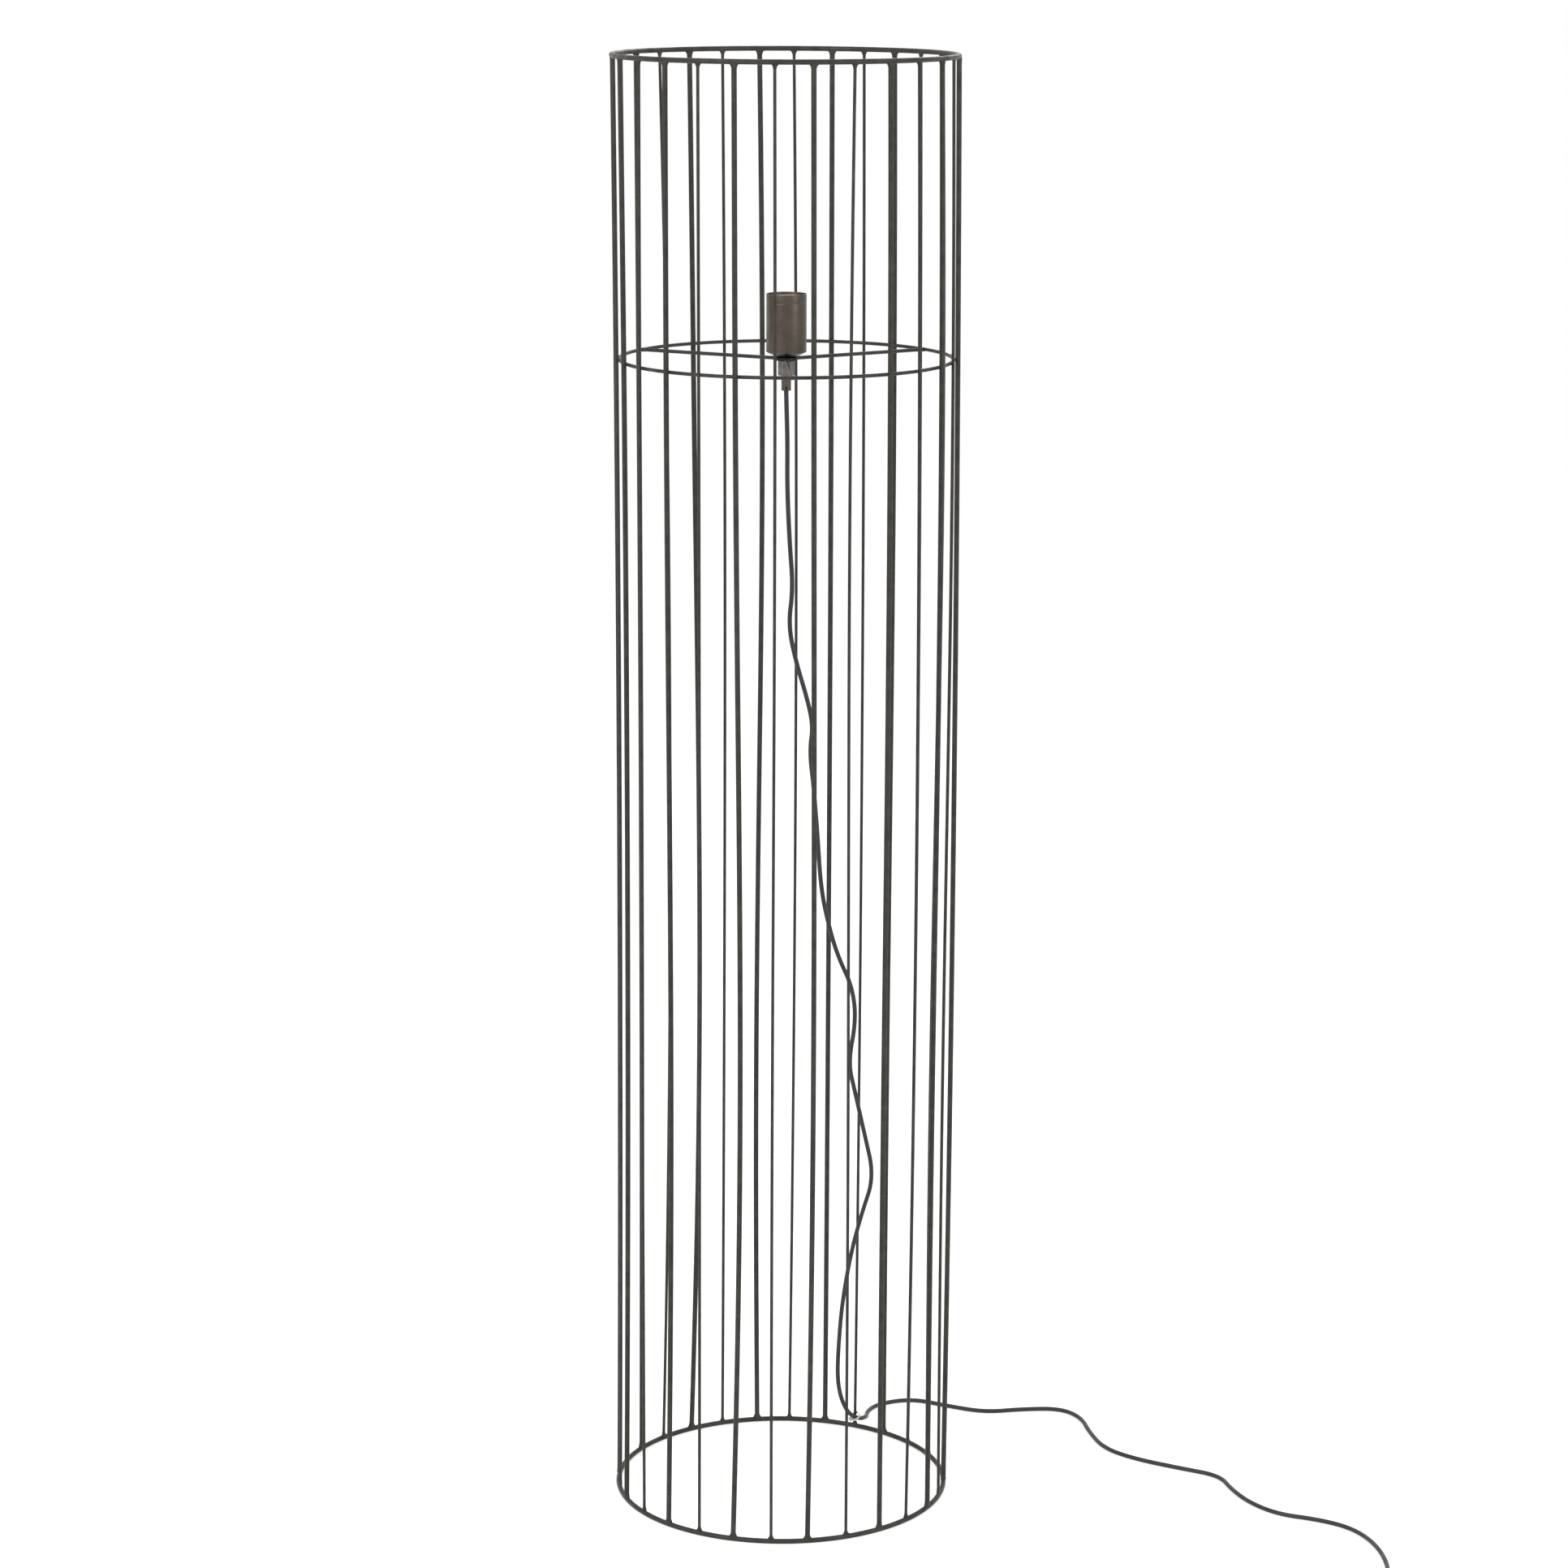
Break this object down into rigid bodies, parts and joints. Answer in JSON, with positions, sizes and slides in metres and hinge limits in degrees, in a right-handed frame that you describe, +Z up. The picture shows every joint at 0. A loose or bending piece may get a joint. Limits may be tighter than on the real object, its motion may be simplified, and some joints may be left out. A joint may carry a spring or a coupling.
{
  "type": "wire cage floor lamp",
  "caption": "Tall round cage of bare steel wire that stands on its bottom hoop, with a bare screw lampholder on a spoked hoop near the top and a cord down the middle.",
  "frame": {"origin": "middle of the bottom hoop, on the floor that the hoop stands on", "axes": "+Z up along the cage; -Y towards the camera of the picture; +X to the right in it, the side on which the cord leaves"},
  "size_m": [0.744, 0.5568, 1.414],
  "materials": {
    "bare_wire": "dark bare steel under clear lacquer, semi-matt",
    "dark_fittings": "dark bronzed steel, semi-gloss",
    "insulator": "glazed cream ceramic",
    "contact_brass": "plain rolled brass",
    "plated_steel": "zinc plated",
    "cord_sheath": "black PVC sheath, semi-matt",
    "core_sleeve": "brown and blue core insulation",
    "clear_nylon": "translucent nylon",
    "black_plastic": "moulded black, fine texture",
    "rocker_plastic": "moulded black, gloss"
  },
  "bodies": {
    "lamp": {"bottom_hoop": "bare_wire", "top_hoop": "bare_wire", "upright_01": "bare_wire", "upright_02": "bare_wire", "upright_03": "bare_wire", "upright_04": "bare_wire", "upright_05": "bare_wire", "upright_06": "bare_wire", "upright_07": "bare_wire", "upright_08": "bare_wire", "upright_09": "bare_wire", "upright_10": "bare_wire", "upright_11": "bare_wire", "upright_12": "bare_wire", "upright_13": "bare_wire", "upright_14": "bare_wire", "upright_15": "bare_wire", "upright_16": "bare_wire", "upright_17": "bare_wire", "upright_18": "bare_wire", "upright_19": "bare_wire", "upright_20": "bare_wire", "upright_21": "bare_wire", "upright_22": "bare_wire", "upright_23": "bare_wire", "upright_24": "bare_wire", "upright_25": "bare_wire", "upright_26": "bare_wire", "upright_27": "bare_wire", "upright_28": "bare_wire", "seat_hoop": "bare_wire", "spokes": "bare_wire", "hub_washer": "dark_fittings", "socket_cup": "dark_fittings", "holder_insulator": "insulator", "thread_shell": "contact_brass", "centre_contact": "contact_brass", "terminals": "contact_brass", "terminal_screws": "plated_steel", "threaded_tube": "dark_fittings", "hub_nut": "dark_fittings", "cord_grip": "dark_fittings", "grip_screw": "plated_steel", "cord_lead_in": "cord_sheath", "cord_cores": "core_sleeve", "cord_hanging": "cord_sheath", "cord_floor": "cord_sheath", "cord_to_coil": "cord_sheath", "cord_coil": "cord_sheath", "cord_tail": "cord_sheath", "cable_tie": "clear_nylon", "coil_tie": "clear_nylon", "switch_lower_shell": "black_plastic", "switch_upper_shell": "black_plastic", "switch_pin": "plated_steel", "switch_contacts": "contact_brass", "switch_screws": "plated_steel", "plug_body": "black_plastic", "plug_pins": "plated_steel"},
    "rocker": {"switch_rocker": "rocker_plastic"}
  },
  "joints": [
    {"name": "rocker_hinge", "type": "hinge", "parent": "lamp", "child": "rocker", "pos_m": [0.492, -0.288, 0.006], "axis": [0, -1, 0], "range_deg": [0, 14]}
  ]
}
